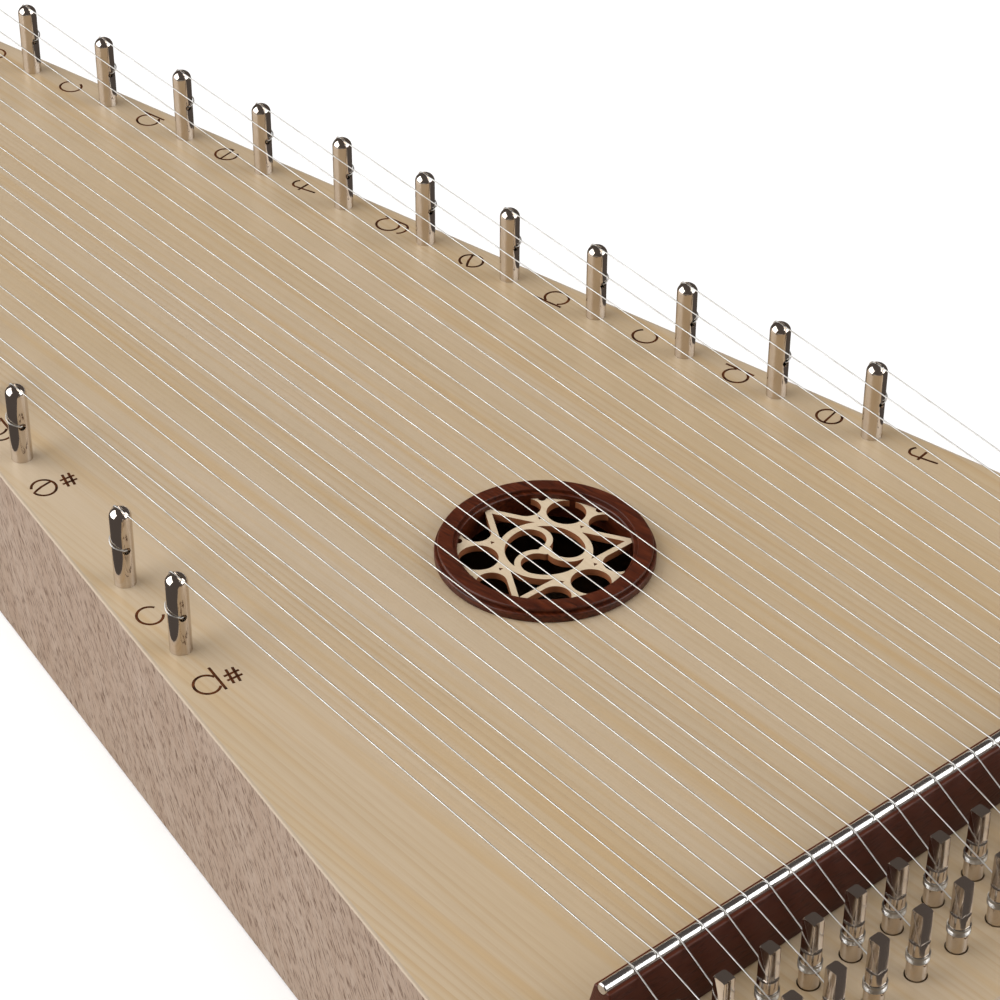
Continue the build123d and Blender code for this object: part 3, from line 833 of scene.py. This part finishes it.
class PSALTERY_OT_tuning_pins(bpy.types.Operator):
    """Make one tuning pin with its square head, eye and turns of wire, and copy it"""

    bl_idname = "psaltery.tuning_pins"
    bl_label = "Tuning pins"

    def execute(self, context):
        size = context.scene.psaltery_tuning_pin
        wire = context.scene.psaltery_wire.radius
        ease = 0.35 * MM
        profile = [(size.radius - 2 * ease, -size.depth), (size.radius, 2 * ease - size.depth)]
        profile += [(size.radius, size.height - ease), (size.radius - ease, size.height)]
        pin = lathe(profile, 48)
        flat = size.square / 2 + size.radius
        head = size.height - size.square_height / 2
        spare = 1e-4
        for quarter in range(4):
            turn = math.radians(90 * quarter)
            centre = (flat * math.cos(turn), flat * math.sin(turn), head + spare / 2)
            reach = (4 if quarter % 2 else 2) * size.radius
            cut(pin, box_cutter((reach, 2 * size.radius, size.square_height + spare), centre))
        eye = size.winding_height - EYE_BELOW_WINDING
        cut(pin, rod_cutter(size.eye_radius, 3 * size.radius, eye))
        apply_modifier(pin, "BEVEL", width=0.12 * MM, segments=2, limit_method="ANGLE",
                       angle_limit=math.radians(40))
        settle(pin, "tuning_pin")
        coil = self.coil(size, wire, eye, winding_top(context) - wire)
        nickel = metal_material("tuning_nickel", context.scene.psaltery_finish.nickel, 0.12, 0.2)
        dress(pin, nickel)
        dress(coil, metal_material("coil_steel", context.scene.psaltery_finish.wire, 0.3, 0.0))
        master = join([pin, coil], "tuning_pin")
        for joint in frame["joints"]:
            name = joint["child"]
            item = bpy.data.objects.new(f"{name}_wound", master.data.copy())
            context.scene.collection.objects.link(item)
            item.data.transform(Matrix.Translation(joint["pos_m"]))
            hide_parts(name)
            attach(item, name)
        bpy.data.objects.remove(master)
        return {"FINISHED"}

    @staticmethod
    def coil(size, wire, eye, top):
        """The turns of wire, from just below the string's end down to the eye."""
        hug = size.radius + wire + CONTACT_CLEARANCE
        steps = 24
        route = []
        for step in range(size.turns * steps + steps // 4 * 3):
            turn = -2 * math.pi * step / steps
            height = top - 2.05 * wire * step / steps
            route.append((hug * math.cos(turn), hug * math.sin(turn), height))
        route.append((0.15 * MM, hug, (route[-1][2] + eye) / 2))
        route.append((0.0, hug * 0.98, eye + wire))
        route.append((0.0, 0.7 * size.radius, eye))
        route.append((0.0, -0.5 * size.radius, eye))
        return wire_piece([route], wire, "coil", 1)


# ---- Note names ----

def stretch(start, end, width, height, centre=(0.0, 0.0)):
    """Points round a letter's bowl from start to end degrees."""
    steps = max(4, int(abs(end - start) / 12))
    turns = [math.radians(start + (end - start) * step / steps) for step in range(steps + 1)]
    return [(centre[0] + width / 2 * math.cos(turn), centre[1] + height / 2 * math.sin(turn))
            for turn in turns]


def letter_strokes(letter, width, height):
    """Strokes of one lower-case letter, centred on its bowl."""
    half = width / 2
    tall = height * 0.78
    if letter == "a":
        bar = [(-0.62 * half, -0.02 * height), (-0.1 * half, 0.1 * height)]
        return [stretch(164, -165, width, height) + bar + [(0.86 * half, 0.24 * height)]]
    if letter == "b":
        return [[(-half, tall), (-half, -height * 0.55)], stretch(152, -145, width, height)]
    if letter == "c":
        return [stretch(42, 340, width, height)]
    if letter == "d":
        return [[(half, tall), (half, -height * 0.55)], stretch(28, 325, width, height)]
    if letter == "e":
        return [[(-half, -0.06 * height), (half, 0.0)] + stretch(4, 318, width, height)]
    if letter == "f":
        hook = stretch(35, 180, width * 0.6, height * 0.5, (0.3 * half, tall - height * 0.25))
        bar = [(-0.6 * half, height * 0.22), (0.8 * half, height * 0.22)]
        return [hook + [(0, -height * 0.5)], bar]
    tail = stretch(0, -150, width * 0.9, height * 0.7, (0.1 * half, -height * 0.55))
    return [stretch(35, 325, width, height), [(half, height * 0.5), (half, -height * 0.5)] + tail]


def sharp_strokes(offset, height):
    """Strokes of a sharp sign to the right of its letter."""
    wide = height * 0.30
    high = height * 0.40
    strokes = []
    for side in (-1, 1):
        lean = 0.15 * wide
        x = offset + side * 0.4 * wide
        strokes.append([(x - lean, -high), (x + lean, high)])
        y = side * 0.32 * high
        strokes.append([(offset - wide, y - 0.1 * wide), (offset + wide, y + 0.1 * wide)])
    return strokes


class PSALTERY_OT_letters(bpy.types.Operator):
    """Burn each string's note name into the board beside its hitch pin"""

    bl_idname = "psaltery.letters"
    bl_label = "Note names"

    def execute(self, context):
        size = context.scene.psaltery_letters
        burnt = burnt_material()
        for row, (axes, _, side) in ROWS.items():
            notes = NATURAL_NOTES if side > 0 else SHARP_NOTES
            gap = size.natural_gap if side > 0 else size.sharp_gap
            outset = 0.0 if side > 0 else size.sharp_outset
            routes = []
            for index, axis in enumerate(axes):
                note = notes[index % len(notes)]
                strokes = letter_strokes(note, size.bowl_width, size.bowl_height)
                if side < 0:
                    strokes += sharp_strokes(1.08 * size.bowl_width, size.bowl_height)
                spin = Matrix.Rotation(side * EDGE_SLOPE, 2)
                centre = Vector(axis) + spin @ Vector((side * outset, -gap))
                for stroke in strokes:
                    placed = [centre + spin @ Vector(point) for point in stroke]
                    routes.append([(spot.x, spot.y, 0.0) for spot in placed])
            lines = wire_piece(routes, size.line_radius, f"{row}_letters", 1)
            flatten = Matrix.Diagonal((1, 1, LINE_FLATNESS, 1))
            lines.data.transform(Matrix.Translation((0, 0, Z_BOARD)) @ flatten)
            dress(lines, burnt)
            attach(lines, BODY)
        return {"FINISHED"}


class PSALTERY_OT_stage(bpy.types.Operator):
    """Set the camera, the pale floor, the softboxes and the dark surround"""

    bl_idname = "psaltery.stage"
    bl_label = "Stage"

    def execute(self, context):
        stage = context.scene.psaltery_stage
        target = Vector((RING_CENTRE.x, RING_CENTRE.y, Z_BOARD))
        self.floor(stage)
        boxes = (
            ("key_softbox", (-1.55, 1.15, 0.95), (2.8, 2.2), stage.key_power, True),
            ("side_softbox", (1.25, -1.45, 1.05), (1.8, 1.7), stage.side_power, True),
            ("top_light", (-0.35, 0.5, 2.6), (3.4, 3.4), stage.top_power, False),
        )
        for name, offset, size, power, reflected in boxes:
            self.softbox(name, target, offset, size, power, reflected)
        self.surround(context)
        lens = bpy.data.cameras.new("camera")
        lens.lens = stage.focal_length
        lens.sensor_width = 36.0
        lens.clip_start = 0.01
        camera = bpy.data.objects.new("camera", lens)
        context.scene.collection.objects.link(camera)
        camera.location = target + Vector(stage.camera_offset)
        camera.rotation_euler = Euler(stage.camera_turn)
        context.scene.camera = camera
        context.scene.view_settings.view_transform = "Standard"
        return {"FINISHED"}

    @staticmethod
    def floor(stage):
        """A wide plain floor under the instrument."""
        deselect()
        bpy.ops.mesh.primitive_plane_add(size=14.0, location=(0, 0, cad_low.z - 0.0005))
        floor = bpy.context.object
        floor.name = "floor"
        material, tree, shader = new_material("floor_paper")
        tone = noise(tree, object_place(tree, (3.0, 3.0, 3.0)), detail=2.0)
        pale = (*stage.floor_colour, 1.0)
        tree.links.new(blend(tree, tone, pale, tint(pale, (0.99, 0.99, 0.99))),
                       shader.inputs["Base Color"])
        shader.inputs["Roughness"].default_value = 0.9
        shader.inputs["Specular IOR Level"].default_value = 0.1
        dress(floor, material)
        floor.visible_glossy = False

    @staticmethod
    def softbox(name, target, offset, size, power, reflected):
        """A rectangular light aimed at the sound hole."""
        light = bpy.data.lights.new(name, "AREA")
        light.shape = "RECTANGLE"
        light.size, light.size_y = size
        light.energy = power
        item = bpy.data.objects.new(name, light)
        bpy.context.scene.collection.objects.link(item)
        item.location = target + Vector(offset)
        item.rotation_euler = (-Vector(offset)).to_track_quat("-Z", "Y").to_euler()
        item.visible_glossy = reflected

    @staticmethod
    def surround(context):
        """A dark room round the stage."""
        world = bpy.data.worlds.new("studio")
        world.use_nodes = True
        background = world.node_tree.nodes["Background"]
        background.inputs["Color"].default_value = (0.100, 0.085, 0.078, 1.0)
        background.inputs["Strength"].default_value = 1.0
        context.scene.world = world


class PSALTERY_PT_panel(bpy.types.Panel):
    """The psaltery's steps"""

    bl_label = "Psaltery"
    bl_idname = "PSALTERY_PT_panel"
    bl_space_type = "VIEW_3D"
    bl_region_type = "UI"
    bl_category = "Psaltery"

    def draw(self, context):
        for step in STEPS:
            self.layout.operator(step.bl_idname)
        for name in GROUPS:
            group = getattr(context.scene, name)
            box = self.layout.box()
            box.label(text=name.removeprefix("psaltery_").replace("_", " ").capitalize())
            for key in group.__annotations__:
                box.prop(group, key)


STEPS = (
    PSALTERY_OT_woods,
    PSALTERY_OT_ring,
    PSALTERY_OT_bridge,
    PSALTERY_OT_hitch_pins,
    PSALTERY_OT_strings,
    PSALTERY_OT_tuning_pins,
    PSALTERY_OT_letters,
    PSALTERY_OT_stage,
)
GROUPS = {
    "psaltery_hitch_pin": PSALTERY_PG_hitch_pin,
    "psaltery_tuning_pin": PSALTERY_PG_tuning_pin,
    "psaltery_wire": PSALTERY_PG_wire,
    "psaltery_ring": PSALTERY_PG_ring,
    "psaltery_letters": PSALTERY_PG_letters,
    "psaltery_finish": PSALTERY_PG_finish,
    "psaltery_stage": PSALTERY_PG_stage,
}


def register():
    """Register the groups, the steps and the panel."""
    for name, group in GROUPS.items():
        bpy.utils.register_class(group)
        setattr(bpy.types.Scene, name, PointerProperty(type=group))
    for step in STEPS:
        bpy.utils.register_class(step)
    bpy.utils.register_class(PSALTERY_PT_panel)


def unregister():
    """Take them away again, last first."""
    bpy.utils.unregister_class(PSALTERY_PT_panel)
    for step in reversed(STEPS):
        bpy.utils.unregister_class(step)
    for name, group in reversed(GROUPS.items()):
        delattr(bpy.types.Scene, name)
        bpy.utils.unregister_class(group)


def main():
    """Build everything in order."""
    register()
    bpy.ops.psaltery.woods()
    bpy.ops.psaltery.ring()
    bpy.ops.psaltery.bridge()
    bpy.ops.psaltery.hitch_pins()
    bpy.ops.psaltery.strings()
    bpy.ops.psaltery.tuning_pins()
    bpy.ops.psaltery.letters()
    bpy.ops.psaltery.stage()


if __name__ == "__main__":
    main()
